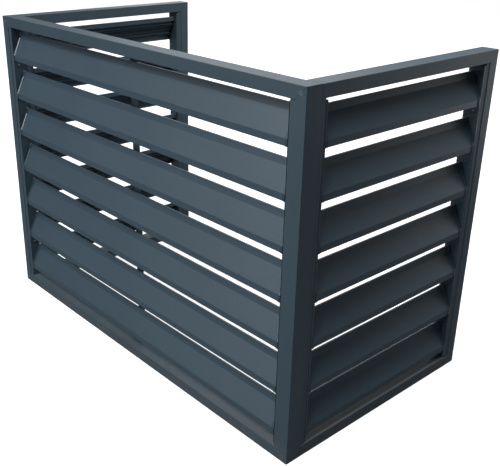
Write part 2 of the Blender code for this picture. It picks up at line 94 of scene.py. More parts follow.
class Bench:
    """Adds nodes to one node tree and wires them."""

    def __init__(self, tree: Tree) -> None:
        """Takes the tree to work on."""
        self.tree = tree

    def feed(self, target: Socket, value: object) -> None:
        """Wires an output to an input, or sets the input to a value.

        Args:
            target: The input.
            value: Another node's output, a number, a vector or a colour.
        """
        if isinstance(value, Socket):
            self.tree.links.new(value, target)
        elif target.type == "RGBA":
            target.default_value = (*value, 1)
        else:
            target.default_value = value

    def node(self, kind: str, feeds: dict | None = None, **settings: object) -> bpy.types.Node:
        """Adds a node.

        Args:
            kind: Blender's name for the node.
            feeds: What goes into its inputs, by name or number.
            settings: Other properties of the node.

        Returns:
            The new node.
        """
        made = self.tree.nodes.new(kind)
        for name, value in settings.items():
            setattr(made, name, value)
        for key, value in (feeds or {}).items():
            self.feed(made.inputs[key], value)
        return made

    def maths(self, operation: str, first: object, second: object, clamp: bool = False) -> Socket:
        """Joins two numbers or outputs with a Math node, and keeps the result from 0 to 1 if asked."""
        feeds = {0: first, 1: second}
        return self.node("ShaderNodeMath", feeds, operation=operation, use_clamp=clamp).outputs[0]

    def times(self, first: object, second: object, clamp: bool = False) -> Socket:
        """Multiplies two numbers."""
        return self.maths("MULTIPLY", first, second, clamp)

    def plus(self, first: object, second: object) -> Socket:
        """Adds two numbers."""
        return self.maths("ADD", first, second)

    def mixed(self, first: Socket, second: Socket, share: float) -> Socket:
        """Adds two numbers up, with this share of the second."""
        return self.plus(self.times(first, 1 - share), self.times(second, share))

    def noise(self, place: Socket, scale: object, detail: float) -> Socket:
        """Adds a noise texture and gives its value."""
        return self.node("ShaderNodeTexNoise", {0: place, "Scale": scale, "Detail": detail}).outputs[0]

    def spread(
            self, value: Socket, low: float = 0, high: float = 1, start: float = 0, end: float = 1) -> Socket:
        """Maps a value that runs from start to end onto low to high, and stops there."""
        return self.node("ShaderNodeMapRange", {0: value, 1: start, 2: end, 3: low, 4: high}).outputs[0]

    def blend(self, share: object, first: object, second: object) -> Socket:
        """Mixes two colours, with this share of the second."""
        return self.node("ShaderNodeMix", {0: share, 6: first, 7: second}, data_type="RGBA").outputs[2]

    def effect(self, group: Tree, place: Socket, feeds: dict) -> dict[str, Socket]:
        """Adds a shared effect at a place on the object and gives its outputs."""
        return self.node("ShaderNodeGroup", {"Vector": place, **feeds}, node_tree=group).outputs


class EffectShelf:
    """The node groups that more than one material uses, by name."""

    # How much finer the patches in a cloud are than the cloud, and their share
    PATCH_SCALE, PATCH_SHARE = 7.0, 0.3
    # The scales of the broad and the fine die lines, and the fine ones' share
    BROAD_SCALE, FINE_SCALE, FINE_SHARE = 0.22, 1.0, 0.35
    # The scale and the depth of the orange peel against the grain's
    PEEL_SCALE, PEEL_DEPTH = 0.3, 0.4
    # How well a rounded edge's normal agrees with the face where the wear and painted highlight are full and
    # where they end
    WORN_FULL, WORN_END, WEAR_CONTRAST = 0.82, 0.99, 9.0
    # The scale, the least share and the range of the dust's noise, and how far up a dusty face looks
    DUST_SCALE, DUST_LEAST, DUST_LOW, DUST_HIGH, DUST_UP = 26.0, 0.35, 0.35, 0.65, 0.2

    def __init__(self) -> None:
        """Builds each group once."""
        self.groups: dict[str, Tree] = {}
        self.build_coat_cloud()
        self.build_die_lines()
        self.build_powder_grain()
        self.build_edge_wear()
        self.build_settled_dust()

    @staticmethod
    def start(title: str, inputs: dict[str, object]) -> tuple[Bench, list[Socket]]:
        """Starts a group that gets the place on the object and further inputs.

        Args:
            title: The group's name.
            inputs: Each further input's name and first value.

        Returns:
            The bench that works on the group, and what its inputs give.
        """
        tree = bpy.data.node_groups.new(title, "ShaderNodeTree")
        tree.interface.new_socket("Vector", in_out="INPUT", socket_type="NodeSocketVector")
        for name, value in inputs.items():
            kind = "NodeSocketFloat" if isinstance(value, float) else "NodeSocketVector"
            tree.interface.new_socket(name, in_out="INPUT", socket_type=kind).default_value = value
        bench = Bench(tree)
        return bench, list(bench.node("NodeGroupInput").outputs)

    def close(self, bench: Bench, results: dict[str, Socket]) -> None:
        """Gives a group its outputs and keeps it.

        Args:
            bench: The bench that works on the group.
            results: Each output's name, and the number that goes there.
        """
        for name in results:
            bench.tree.interface.new_socket(name, in_out="OUTPUT", socket_type="NodeSocketFloat")
        bench.node("NodeGroupOutput", results)
        self.groups[bench.tree.name] = bench.tree

    def build_coat_cloud(self) -> None:
        """Broad, soft differences in the thickness and the fading of a coat."""
        bench, (place, scale, *_) = self.start("coat_cloud", {"Scale": 5.0})
        broad = bench.noise(place, scale, detail=3.0)
        patchy = bench.noise(place, bench.times(scale, self.PATCH_SCALE), detail=2.0)
        both = bench.mixed(broad, patchy, self.PATCH_SHARE)
        self.close(bench, {"Tone": bench.spread(both, 0, 1, *NOISE_MIDDLE)})

    def build_die_lines(self) -> None:
        """Fine lines that the extrusion die leaves along a profile."""
        bench, (place, stretch, *_) = self.start("die_lines", {"Stretch": (3.0, 500.0, 500.0)})
        drawn = bench.node("ShaderNodeVectorMath", {0: place, 1: stretch}, operation="MULTIPLY").outputs[0]
        wide = bench.noise(drawn, self.BROAD_SCALE, detail=2.0)
        fine = bench.noise(drawn, self.FINE_SCALE, detail=1.0)
        both = bench.mixed(wide, fine, self.FINE_SHARE)
        self.close(bench, {"Tone": bench.spread(both, 0, 1, *NOISE_MIDDLE), "Height": both})

    def build_powder_grain(self) -> None:
        """The fine orange peel of a baked powder coat."""
        bench, (place, scale, *_) = self.start("powder_grain", {"Scale": 900.0})
        grain = bench.noise(place, scale, detail=2.0)
        feeds = {"Vector": place, "Scale": bench.times(scale, self.PEEL_SCALE)}
        peel = bench.node("ShaderNodeTexVoronoi", feeds, feature="SMOOTH_F1").outputs[0]
        height = bench.maths("SUBTRACT", grain, bench.times(peel, self.PEEL_DEPTH))
        self.close(bench, {"Tone": bench.spread(grain, 0, 1, *NOISE_MIDDLE), "Height": height})

    def build_edge_wear(self) -> None:
        """Where handling has rubbed the edges, and where a painted highlight lies along them, broken up into
        short marks.
        """
        inputs = {"Radius": 0.0012, "Break Up": 60.0, "Least": 0.5}
        bench, (place, radius, break_up, least, *_) = self.start("edge_wear", inputs)
        rounded = bench.node("ShaderNodeBevel", {"Radius": radius}, samples=4).outputs[0]
        feeds = {0: rounded, 1: bench.node("ShaderNodeNewGeometry").outputs["Normal"]}
        agree = bench.node("ShaderNodeVectorMath", feeds, operation="DOT_PRODUCT").outputs[1]
        edge = bench.spread(agree, 1, 0, self.WORN_FULL, self.WORN_END)
        patches = bench.maths("SUBTRACT", bench.noise(place, break_up, detail=4.0), least)
        broken = bench.times(patches, self.WEAR_CONTRAST, clamp=True)
        self.close(bench, {"Mask": bench.times(edge, broken, clamp=True)})

    def build_settled_dust(self) -> None:
        """Dust that settles on faces that look up, and the splash near the ground."""
        inputs = {"Settled": 0.1, "Splash": 0.3, "Splash Height": 0.06}
        bench, (place, settled, splash, splash_height, *_) = self.start("settled_dust", inputs)
        normal = bench.node("ShaderNodeNewGeometry").outputs["Normal"]
        up = bench.node("ShaderNodeSeparateXYZ", {0: normal}).outputs[2]
        height = bench.node("ShaderNodeSeparateXYZ", {0: place}).outputs[2]
        patchy = bench.noise(place, self.DUST_SCALE, detail=5.0)
        uneven = bench.spread(patchy, self.DUST_LEAST, 1, self.DUST_LOW, self.DUST_HIGH)
        lying = bench.times(bench.spread(up, start=self.DUST_UP), settled)
        share = bench.maths("DIVIDE", height, splash_height)
        splashed = bench.times(bench.spread(share, 1, 0), splash)
        self.close(bench, {"Mask": bench.times(bench.plus(lying, splashed), uneven, clamp=True)})


# Finishes

class Run(Enum):
    """The way a profile runs, with the stretch that its die lines get."""

    ALONG_X = (2.5, 520.0, 520.0)
    ALONG_Y = (520.0, 2.5, 520.0)
    ALONG_Z = (520.0, 520.0, 2.5)

    @property
    def axis(self) -> str:
        """The letter of the axis."""
        return self.name[-1].lower()


class Slot(Enum):
    """The record's material slots."""

    FRAME = "frame_coat"
    BLADE = "blade_coat"
    CHANNEL = "channel_coat"
    NYLON = "clip_nylon"
    STEEL = "painted_steel"


@dataclass(frozen=True)
class Wear:
    """Rubbed edges that also carry a painted highlight: their width, how broken up and how few they are, and
    how they look.
    """

    radius: float = 0.0012
    break_up: float = 60.0
    least: float = 0.56
    share: float = 0.3
    # The lighter edge colour stands for rubbed coat and for a painted highlight
    colour: Colour = (0.17, 0.20, 0.22)
    gloss: float = 0.08


@dataclass(frozen=True)
class Dust:
    """Dust on faces that look up and splashes near the ground, and how they look."""

    settled: float = 0.04
    splash: float = 0.38
    splash_height: float = 0.055
    colour: Colour = (0.105, 0.098, 0.090)
    roughness: float = 0.35


@dataclass(frozen=True)
class Finish:
    """What the finishes share. A pair is what an effect brings about where it is least and most."""

    title: str
    colour: Colour
    metallic: float = 0.0
    cloud_scale: float = 4.0
    cloud_tone: Pair | None = None
    roughness: Pair = (0.5, 0.5)
    oxide: Colour | None = None
    oxide_share: float = 0.6
    run: Run | None = None
    line_tone: Pair | None = None
    line_depth: float = 0.0
    grain: float = 0.0
    grain_tone: Pair | None = None
    grain_depth: float = 0.00002
    wear: Wear | None = None
    dust: Dust | None = None

    def build(self, shelf: EffectShelf) -> Material:
        """Makes the material.

        Args:
            shelf: The shared effects.

        Returns:
            The material.
        """
        material = bpy.data.materials.new(self.title)
        material.use_nodes = True
        material.diffuse_color = (*self.colour, 1)
        bench = Bench(material.node_tree)
        place = bench.node("ShaderNodeTexCoord").outputs["Object"]
        cloud = bench.effect(shelf.groups["coat_cloud"], place, {"Scale": self.cloud_scale})["Tone"]
        rough = bench.spread(cloud, *self.roughness)
        colour, tones, relief = self.colour, [(cloud, self.cloud_tone)], []
        if self.oxide:
            colour = bench.blend(bench.times(cloud, self.oxide_share), colour, self.oxide)
        if self.run:
            lines = bench.effect(shelf.groups["die_lines"], place, {"Stretch": self.run.value})
            tones.append((lines["Tone"], self.line_tone))
            relief.append(bench.times(lines["Height"], self.line_depth))
        if self.grain:
            grain = bench.effect(shelf.groups["powder_grain"], place, {"Scale": self.grain})
            tones.append((grain["Tone"], self.grain_tone))
            relief.append(bench.times(grain["Height"], self.grain_depth))
        value = reduce(bench.times, [bench.spread(tone, *pair) for tone, pair in tones if pair])
        colour = bench.node("ShaderNodeHueSaturation", {"Value": value, "Color": colour}).outputs[0]
        wear, dust = self.wear, self.dust
        # Lighter edges: partly rubbed wear, partly a painted highlight along them
        if wear:
            feeds = {"Radius": wear.radius, "Break Up": wear.break_up, "Least": wear.least}
            wear_and_highlight_mask = bench.effect(shelf.groups["edge_wear"], place, feeds)["Mask"]
            colour = bench.blend(bench.times(wear_and_highlight_mask, wear.share), colour, wear.colour)
            if wear.gloss:
                rough = bench.maths("SUBTRACT", rough, bench.times(wear_and_highlight_mask, wear.gloss))
        if dust:
            feeds = {"Settled": dust.settled, "Splash": dust.splash, "Splash Height": dust.splash_height}
            dusty = bench.effect(shelf.groups["settled_dust"], place, feeds)["Mask"]
            colour = bench.blend(dusty, colour, dust.colour)
            rough = bench.plus(rough, bench.times(dusty, dust.roughness))
        feeds = {"Height": reduce(bench.plus, relief), "Distance": 1.0, "Strength": 1.0}
        bump = bench.node("ShaderNodeBump", feeds).outputs[0]
        looks = {"Base Color": colour, "Roughness": rough, "Metallic": self.metallic, "Normal": bump}
        for name, value in looks.items():
            bench.feed(bench.tree.nodes["Principled BSDF"].inputs[name], value)
        return material


@dataclass(frozen=True)
class PowderCoat(Finish):
    """Anthracite powder coat on an aluminium profile."""

    cloud_tone: Pair = (0.95, 1.05)
    roughness: Pair = (0.43, 0.49)
    line_tone: Pair = (0.96, 1.04)
    line_depth: float = 0.00005
    grain: float = 950.0
    grain_tone: Pair = (0.96, 1.04)
    grain_depth: float = 0.00006
    # Lighter edges: partly rubbed wear, partly a painted highlight on the arrises
    wear: Wear = Wear()
    dust: Dust = Dust()


@dataclass(frozen=True)
class MouldedNylon(Finish):
    """Dark moulded nylon of the clip strips and plugs."""

    title: str = "moulded_nylon"
    colour: Colour = (0.026, 0.043, 0.057)
    cloud_scale: float = 22.0
    cloud_tone: Pair = (0.9, 1.1)
    roughness: Pair = (0.11, 0.21)
    grain: float = 2400.0
    grain_tone: Pair = (0.95, 1.05)
    # Lighter clip edges: partly rubbed wear, partly a painted highlight along the clip rims
    wear: Wear = Wear(
        radius=0.0006, break_up=140.0, least=0.52, share=0.5, colour=(0.10, 0.11, 0.115), gloss=0.0)
    dust: Dust = Dust(
        settled=0.05, splash=0.25, splash_height=0.07, colour=(0.11, 0.105, 0.10), roughness=0.4)


@dataclass(frozen=True)
class BareAluminium(Finish):
    """Uncoated extruded aluminium of the corner cleats."""

    title: str = "mill_aluminium"
    colour: Colour = (0.60, 0.61, 0.62)
    metallic: float = 1.0
    cloud_scale: float = 30.0
    roughness: Pair = (0.34, 0.5)
    oxide: Colour = (0.42, 0.43, 0.43)
    run: Run = Run.ALONG_Y
    line_tone: Pair = (0.92, 1.06)
    line_depth: float = 0.00008


@dataclass(frozen=True)
class ScrewSteel(Finish):
    """Steel of a screw: a thin coat or plating, rubbed through at the edges and in the recess, where the
    lighter colour is also a painted highlight.
    """

    metallic: float = 0.6
    cloud_scale: float = 160.0
    cloud_tone: Pair = (0.88, 1.1)
    roughness: Pair = (0.29, 0.42)
    grain: float = 3200.0
    # Light rims and recess: partly rubbed plating, partly a painted highlight
    wear: Wear = Wear(
        radius=0.0004, break_up=420.0, least=0.47, share=1.0, colour=(0.52, 0.53, 0.54), gloss=0.0)


class Palette:
    """The screen's finishes, built once and handed to the sub-assemblies."""

    def __init__(self) -> None:
        """Builds every finish."""
        shelf = EffectShelf()
        dark = (0.0296, 0.052, 0.0705)
        blade = {"colour": (0.0272, 0.0506, 0.0706), "roughness": (0.39, 0.45), "line_tone": (0.975, 1.025)}
        self.frame = {run: PowderCoat(f"frame_coat_{run.axis}", dark, run=run).build(shelf) for run in Run}
        self.blade = {
            run: PowderCoat(f"blade_coat_{run.axis}", run=run, **blade).build(shelf)
            for run in (Run.ALONG_X, Run.ALONG_Y)
        }
        channel = PowderCoat("channel_coat_z", dark, run=Run.ALONG_Z, roughness=(0.47, 0.53))
        plated = ScrewSteel("plated_screw", (0.13, 0.15, 0.165), metallic=0.9, roughness=(0.25, 0.38))
        self.channel = channel.build(shelf)
        self.nylon = MouldedNylon().build(shelf)
        self.aluminium = BareAluminium().build(shelf)
        self.corner_screw = ScrewSteel("painted_screw", (0.125, 0.16, 0.18)).build(shelf)
        self.channel_screw = plated.build(shelf)


# Shapes

def only(kind: type, parts: list) -> list:
    """The parts of one kind out of a bmesh operator's result."""
    return [part for part in parts if isinstance(part, kind)]


def move_region(shape: Mesh, faces: list, move: Vector, widen: float = 1.0) -> list:
    """Extrudes faces by a move and scales the new ones about their centre.

    Args:
        shape: The mesh.
        faces: The faces to extrude.
        move: How far and which way.
        widen: The scale of the new faces.

    Returns:
        The new faces.
    """
    edges = {edge for face in faces for edge in face.edges}
    made = bmesh.ops.extrude_face_region(shape, geom=[*faces, *edges])["geom"]
    corners = only(bmesh.types.BMVert, made)
    centre = sum((corner.co for corner in corners), Vector()) / len(corners)
    for corner in corners:
        corner.co = centre + (corner.co - centre) * widen + move
    return only(bmesh.types.BMFace, made)


def swept(path: list[tuple], move: Vector) -> Mesh:
    """A path that is swept along a straight line into an open sheet.

    Args:
        path: The path's points.
        move: How far and which way it is swept.

    Returns:
        The sheet's mesh.
    """
    shape = bmesh.new()
    points = [shape.verts.new(point) for point in path]
    lines = [shape.edges.new(pair) for pair in zip(points, points[1:])]
    made = bmesh.ops.extrude_edge_only(shape, edges=lines)["geom"]
    bmesh.ops.translate(shape, verts=only(bmesh.types.BMVert, made), vec=move)
    return shape


def thicken(shape: Mesh, inwards: Vector, wall: float) -> None:
    """Gives a sheet its wall.

    Args:
        shape: The sheet's mesh.
        inwards: The side of the sheet that the wall lies on, for most of its faces.
        wall: How thick the wall is.
    """
    bmesh.ops.recalc_face_normals(shape, faces=shape.faces)
    facing = sum((face.normal * face.calc_area() for face in shape.faces), Vector())
    if facing.dot(inwards) < 0:
        bmesh.ops.reverse_faces(shape, faces=shape.faces)
    bmesh.ops.solidify(shape, geom=shape.faces[:], thickness=-wall)


def round_off(shape: Mesh, parts: list, reach: float, steps: int, kind: str = "EDGES") -> None:
    """Rounds edges, or VERTICES if that is the kind, with a bevel of so many faces."""
    bmesh.ops.bevel(shape, geom=parts, offset=reach, segments=steps, affect=kind, **ARC)


def edges_at(shape: Mesh, spot: Vector) -> list:
    """The edges whose middle is at a place."""
    return [line for line in shape.edges if ((line.verts[0].co + line.verts[1].co) / 2 - spot).length < TOUCH]


def slab(shape: Mesh, size: Vector, matrix: Matrix, edge: float, steps: int = 2) -> None:
    """Adds a block to a mesh, with its edges rounded in so many steps."""
    corners = bmesh.ops.create_cube(shape, size=1.0, matrix=matrix @ Matrix.Diagonal((*size, 1)))["verts"]
    round_off(shape, list({line for corner in corners for line in corner.link_edges}), edge, steps)


def pin(radius: float, length: float, crown: float, steps: int, sides: int) -> Mesh:
    """A round bar that stands on the origin along Z, with a rounded rim on top.

    Args:
        radius: The bar's radius.
        length: Its length.
        crown: How wide the rim's rounding is.
        steps: How many faces the rounding has.
        sides: How many sides the bar has.

    Returns:
        The bar's mesh.
    """
    shape = bmesh.new()
    bmesh.ops.create_cone(
        shape, cap_ends=True, segments=sides, radius1=radius, radius2=radius, depth=length,
        matrix=Matrix.Translation((0, 0, length / 2)))
    rim = [line for line in shape.edges if all(abs(corner.co.z - length) < TOUCH for corner in line.verts)]
    round_off(shape, rim, crown, steps)
    return shape


def turned(radius: float, steps: list[tuple[float, float]], sides: int) -> Mesh:
    """A round body about Z, from a flat face at the origin downwards.

    Args:
        radius: The flat face's radius.
        steps: How far down each step goes, and the radius there.
        sides: How many sides the body has.

    Returns:
        The body's mesh.
    """
    shape = bmesh.new()
    bmesh.ops.create_circle(shape, cap_ends=True, segments=sides, radius=radius)
    face = shape.faces[:]
    for drop, end in steps:
        face = move_region(shape, face, Vector((0, 0, -drop)), end / radius)
        radius = end
    bmesh.ops.recalc_face_normals(shape, faces=shape.faces)
    return shape


def bake(name: str, shape: Mesh, place: Matrix) -> bpy.types.Mesh:
    """Writes a mesh into Blender's data and frees it.

    Args:
        name: The name of the data.
        shape: The mesh.
        place: Where it goes.

    Returns:
        The data.
    """
    bmesh.ops.transform(shape, verts=shape.verts, matrix=place)
    mesh = bpy.data.meshes.new(name)
    shape.to_mesh(mesh)
    shape.free()
    return mesh


def join(shape: Mesh, part: Mesh, place: Matrix) -> None:
    """Adds a part to a mesh and frees it.

    Args:
        shape: The mesh that grows.
        part: The part's mesh.
        place: Where the part goes.
    """
    carrier = bake("carrier", part, place)
    shape.from_mesh(carrier)
    bpy.data.meshes.remove(carrier)


def turn(degrees: float, axis: str) -> Matrix:
    """A turn about an axis."""
    return Matrix.Rotation(math.radians(degrees), 4, axis)


def corner_reach(before: Vector, corner: Vector, after: Vector, radius: float) -> float:
    """How far from a corner an arc starts that rounds it, given the points before and after it."""
    return radius / math.tan((before - corner).angle(after - corner) / 2)


def sideways(path: Section, distance: float) -> Section:
    """Moves a path sideways, to its right where the distance is positive, with mitred corners.

    Args:
        path: The points of the path.
        distance: How far it moves.

    Returns:
        The moved points.
    """
    ways = [(after - before).normalized() for before, after in zip(path, path[1:])]
    rights = [Vector((way.y, -way.x)) for way in ways]
    moved = []
    for point, right_in, right_out in zip(path, [rights[0], *rights], [*rights, rights[-1]]):
        middle = (right_in + right_out).normalized()
        moved.append(point + middle * (distance / middle.dot(right_in)))
    return moved


def box_in(matrix: Matrix, node: str) -> tuple[Vector, Vector]:
    """A CAD node's lowest and highest corner in another upright frame."""
    corners = [matrix.inverted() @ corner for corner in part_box(node)]
    return Vector(map(min, *corners)), Vector(map(max, *corners))


def put(name: str, data: bpy.types.ID) -> Thing:
    """Puts mesh, camera or lamp data into the scene.

    Args:
        name: The object's name.
        data: What it shows.

    Returns:
        The object.
    """
    thing = bpy.data.objects.new(name, data)
    bpy.context.scene.collection.objects.link(thing)
    return thing


def mount(name: str, shape: Mesh, place: Matrix, material: Material, slot: Slot, *replaced: str) -> Thing:
    """Makes a mesh into a piece that rides on the screen.

    Args:
        name: The piece's name.
        shape: Its mesh, which is freed.
        place: Where the mesh goes.
        material: Its finish.
        slot: The record's material slot that the finish stands for. Not used.
        replaced: The CAD nodes that the piece stands for.

    Returns:
        The piece.
    """
    bmesh.ops.recalc_face_normals(shape, faces=shape.faces)
    mesh = bake(name, shape, place)
    piece = put(name, mesh)
    mesh.shade_smooth()
    mesh.set_sharp_from_angle(angle=SHARP_ANGLE)
    mesh.materials.append(material)
    piece.modifiers.new("even_shading", "WEIGHTED_NORMAL").keep_sharp = True
    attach(piece, "root")
    if replaced:
        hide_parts(*replaced)
    LOG.info("%s: %d faces", name, len(mesh.polygons))
    return piece


# The panels and what each of them holds

class Facing(Enum):
    """The three panels, with the turn that brings local X along the panel and local Y inwards."""

    FRONT = ("front", 0.0)
    RIGHT = ("right", 90.0)
    LEFT = ("left", -90.0)


@dataclass
class Panel:
    """One panel's place: local X runs along it, local Y inwards from its outer face, and Z up."""

    facing: Facing
    blade_count: int = 7
    front_strip_wall: float = 1 * MM
    side_strip_wall: float = 5 * MM

    @property
    def name(self) -> str:
        """The panel's name."""
        return self.facing.value[0]

    @property
    def is_front(self) -> bool:
        """True for the front panel."""
        return self.facing is Facing.FRONT

    @property
    def run(self) -> Run:
        """The way the panel's rails and blades run."""
        return Run.ALONG_X if self.is_front else Run.ALONG_Y

    @property
    def strip_wall(self) -> float:
        """How thick the panel's clip strips are between two clips."""
        return self.front_strip_wall if self.is_front else self.side_strip_wall

    @property
    def matrix(self) -> Matrix:
        """The panel's frame, from the middle of its blades at the outer face."""
        low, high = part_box(f"{self.name}_blade_1")
        middle = (low + high) / 2
        spots = {
            Facing.FRONT: (middle.x, CAD_LOW.y, 0),
            Facing.RIGHT: (CAD_HIGH.x, middle.y, 0),
            Facing.LEFT: (CAD_LOW.x, middle.y, 0),
        }
        return Matrix.Translation(spots[self.facing]) @ turn(self.facing.value[1], "Z")

    @property
    def ends(self) -> dict[str, int]:
        """The names of the panel's channels, with the sign of the end they stand at."""
        if self.is_front:
            return {"front_left": -1, "front_right": 1}
        rear = 1 if self.facing is Facing.RIGHT else -1
        return {f"{self.name}_front": -rear, f"{self.name}_rear": rear}

    def box(self, node: str) -> tuple[Vector, Vector]:
        """The lowest and the highest corner of a CAD node in the panel's frame."""
        return box_in(self.matrix, node)

    def blade_node(self, number: int) -> str:
        """The CAD node of a blade, counted from the top."""
        return f"{self.name}_blade_{number}"

    def mount(self, name: str, shape: Mesh, place: Matrix, *dressing: object) -> None:
        """Mounts a mesh at a place in the panel's frame, dressed as the function mount has it."""
        mount(name, shape, self.matrix @ place, *dressing)


class Edge(Enum):
    """The edges of a frame, with the turn that brings a tube's outer face there."""

    TOP = 0.0
    RIGHT = 90.0
    BOTTOM = 180.0
    LEFT = -90.0


@dataclass
class TubeFrame:
    """The rectangular tubes round one panel's opening."""

    palette: Palette
    panel: Panel
    wall: float = 1.5 * MM
    arris: float = 0.9 * MM
    arris_steps: int = 4
    mitre_gap: float = 0.1 * MM
    screw_head: float = 4.5 * MM
    screw_shank: float = 2.5 * MM
    sink_depth: float = 2.3 * MM
    screw_sides: int = 32
    overrun: float = 1 * MM
    hole_depth: float = 60 * MM

    @property
    def nodes(self) -> dict[str, Edge]:
        """The CAD node of each tube, with the edge it stands at."""
        name = self.panel.name
        rails = {f"{name}_top_rail": Edge.TOP, f"{name}_bottom_rail": Edge.BOTTOM}
        if self.panel.is_front:
            return {**rails, f"{name}_left_stile": Edge.LEFT, f"{name}_right_stile": Edge.RIGHT}
        rear = Edge.RIGHT if self.panel.facing is Facing.RIGHT else Edge.LEFT
        return {**rails, f"{name}_rear_stile": rear}

    def tube(self, size: Vector, low: float, mitred: tuple[bool, ...]) -> Mesh:
        """A tube along X with its outer face at Z = 0 and its body below, from Y = 0 inwards.

        Args:
            size: Its length, its depth and the height of its face.
            low: Where it starts along X.
            mitred: Whether its low and its high end are mitred.

        Returns:
            The tube's mesh.
        """
        length, depth, face = size
        middle = low + length / 2
        shape = bmesh.new()
        stand = Matrix(((0, 0, 1, low), (depth, 0, 0, depth / 2), (0, face, 0, -face / 2), (0, 0, 0, 1)))
        bmesh.ops.create_grid(shape, x_segments=1, y_segments=1, size=0.5, matrix=stand)
        shape.normal_update()
        section = list(shape.faces)
        ring = bmesh.ops.inset_region(
            shape, faces=section, thickness=self.wall, use_even_offset=True, use_boundary=True)
        bmesh.ops.delete(shape, geom=section, context="FACES_ONLY")
        made = bmesh.ops.extrude_face_region(shape, geom=ring["faces"])["geom"]
        bmesh.ops.translate(shape, verts=only(bmesh.types.BMVert, made), vec=(length, 0, 0))
        for outer in ((middle, y, z) for y in (0, depth) for z in (0, -face)):
            round_off(shape, edges_at(shape, Vector(outer)), self.arris, self.arris_steps)
        for corner in shape.verts:
            at_high = corner.co.x > middle
            if mitred[at_high]:
                draw = self.mitre_gap - corner.co.z
                corner.co.x += -draw if at_high else draw
        return shape

    def drill(self, piece: Thing) -> None:
        """Cuts the corner screws' countersunk holes out of a front tube.

        Args:
            piece: The tube.
        """
        tube = put("tube", piece.data)
        head, shank = self.screw_head, self.screw_shank
        steps = [(self.overrun, head), (self.sink_depth, shank), (self.hole_depth, shank)]
        cutters = []
        for corner in CORNERS:
            middle = sum(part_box(f"{corner}_screw"), Vector()) / 2
            place = Matrix.Translation((middle.x, CAD_LOW.y - self.overrun, middle.z))
            sink = turned(head, steps, self.screw_sides)
            cutters.append(put("sink", bake("sink", sink, place @ turn(90, "X"))))
            hole = tube.modifiers.new("hole", "BOOLEAN")
            hole.object = cutters[-1]
            hole.solver = "EXACT"
        bpy.context.view_layer.update()
        cut = tube.evaluated_get(bpy.context.evaluated_depsgraph_get())
        piece.data = bpy.data.meshes.new_from_object(cut)
        for thing in (tube, *cutters):
            bpy.data.objects.remove(thing)

    def build(self) -> None:
        """Builds and dresses the panel's tubes."""
        for node, edge in self.nodes.items():
            own = self.panel.matrix @ turn(edge.value, "Y")
            low, high = box_in(own, node)
            upright = edge in (Edge.LEFT, Edge.RIGHT)
            ends = (own @ Vector((low.x, 0, 0)), own @ Vector((high.x, 0, 0)))
            mitred = tuple(self.panel.is_front or upright or end.y > 0 for end in ends)
            shape = self.tube(high - low, low.x, mitred)
            place = own @ Matrix.Translation((0, low.y, high.z))
            coat = self.palette.frame[Run.ALONG_Z if upright else self.panel.run]
            name = node.replace("_rail", "_tube").replace("_stile", "_post")
            piece = mount(name, shape, place, coat, Slot.FRAME, node)
            if self.panel.is_front:
                self.drill(piece)


@dataclass
class Blade:
    """The section of a blade: a lip, a sloping face, a steeper flange and a hem turned down behind.

    Depths are from the panel's outer face inwards, and heights from the blade's foot.
    """

    wall: float = 1.5 * MM
    nose_depth: float = 2.5 * MM
    lip_height: float = 14 * MM
    flange_slant: float = 3 * MM
    flange_height: float = 14 * MM
    hem_reach: float = 4.6 * MM
    hem_height: float = 12 * MM
    nose_radius: float = 3 * MM
    bend_radius: float = 3 * MM
    fold_radius: float = 0.9 * MM
    steps: tuple[int, ...] = (8, 5, 3, 3)
    back_side: Triple = (0, 1, -0.5)
    rib_thickness: float = 1.2 * MM
    rib_height: float = 5 * MM
    rib_edge: float = 0.25 * MM
    rib_bite: float = 0.4 * MM
    stiffener_height: float = 3 * MM
    groove_shares: Pair = (0.82, 0.14)
    stiffener_shares: Pair = (0.59, 0.46)
    peg_radius: float = 2 * MM

    def corners(self, box: tuple[Vector, Vector]) -> Section:
        """The outer face from the lip's foot to the hem's lower edge.

        Args:
            box: The CAD blade's lowest and highest corner in its panel's frame.

        Returns:
            The corners as (depth, height).
        """
        low, high = box
        height, back = high.z - low.z, high.y
        crest = back - self.hem_reach
        return [
            Vector((self.nose_depth, 0)),
            Vector((self.nose_depth, self.lip_height)),
            Vector((crest - self.flange_slant, height - self.flange_height)),
            Vector((crest, height)),
            Vector((back, height)),
            Vector((back, height - self.hem_height)),
        ]

    def face_point(self, corners: Section, along: float, inwards: float) -> Vector:
        """The point so far up the sloping face from the nose, and so far in from its outside."""
        up = (corners[2] - corners[1]).normalized()
        return corners[1] + up * along + Vector((up.y, -up.x)) * inwards

    def ribs(self, length: float) -> list[tuple[float, float]]:
        """Each rib on the back.

        Args:
            length: The sloping face's length.

        Returns:
            The ribs' middles along the face, and their heights.
        """
        reach = self.peg_radius + FIT_GAP + self.rib_thickness / 2
        spans = [(share * length, self.stiffener_height) for share in self.stiffener_shares]
        for share in self.groove_shares:
            spans.append((share * length + reach, self.rib_height))
            spans.append((share * length - reach, self.rib_height))
        return spans

    def mesh(self, box: tuple[Vector, Vector]) -> Mesh:
        """A whole blade in its panel's frame, but for its height.

        Args:
            box: The CAD blade's lowest and highest corner in that frame.

        Returns:
            The blade's mesh.
        """
        low, high = box
        length = high.x - low.x
        middle = low.x + length / 2
        corners = self.corners(box)
        shape = swept([(low.x, *corner) for corner in corners], Vector((length, 0, 0)))
        radii = (self.nose_radius, self.bend_radius, self.fold_radius, self.fold_radius)
        for number, (radius, steps) in enumerate(zip(radii, self.steps), start=1):
            reach = corner_reach(*corners[number - 1:number + 2], radius)
            round_off(shape, edges_at(shape, Vector((middle, *corners[number]))), reach, steps)
        thicken(shape, Vector(self.back_side), self.wall)
        face = corners[2] - corners[1]
        slope = turn(math.degrees(math.atan2(face.y, face.x)) - 90, "X")
        for along, height in self.ribs(face.length):
            depth, level = self.face_point(corners, along, self.wall + (height - self.rib_bite) / 2)
            size = Vector((length, height + self.rib_bite, self.rib_thickness))
            slab(shape, size, Matrix.Translation((middle, depth, level)) @ slope, self.rib_edge)
        return shape


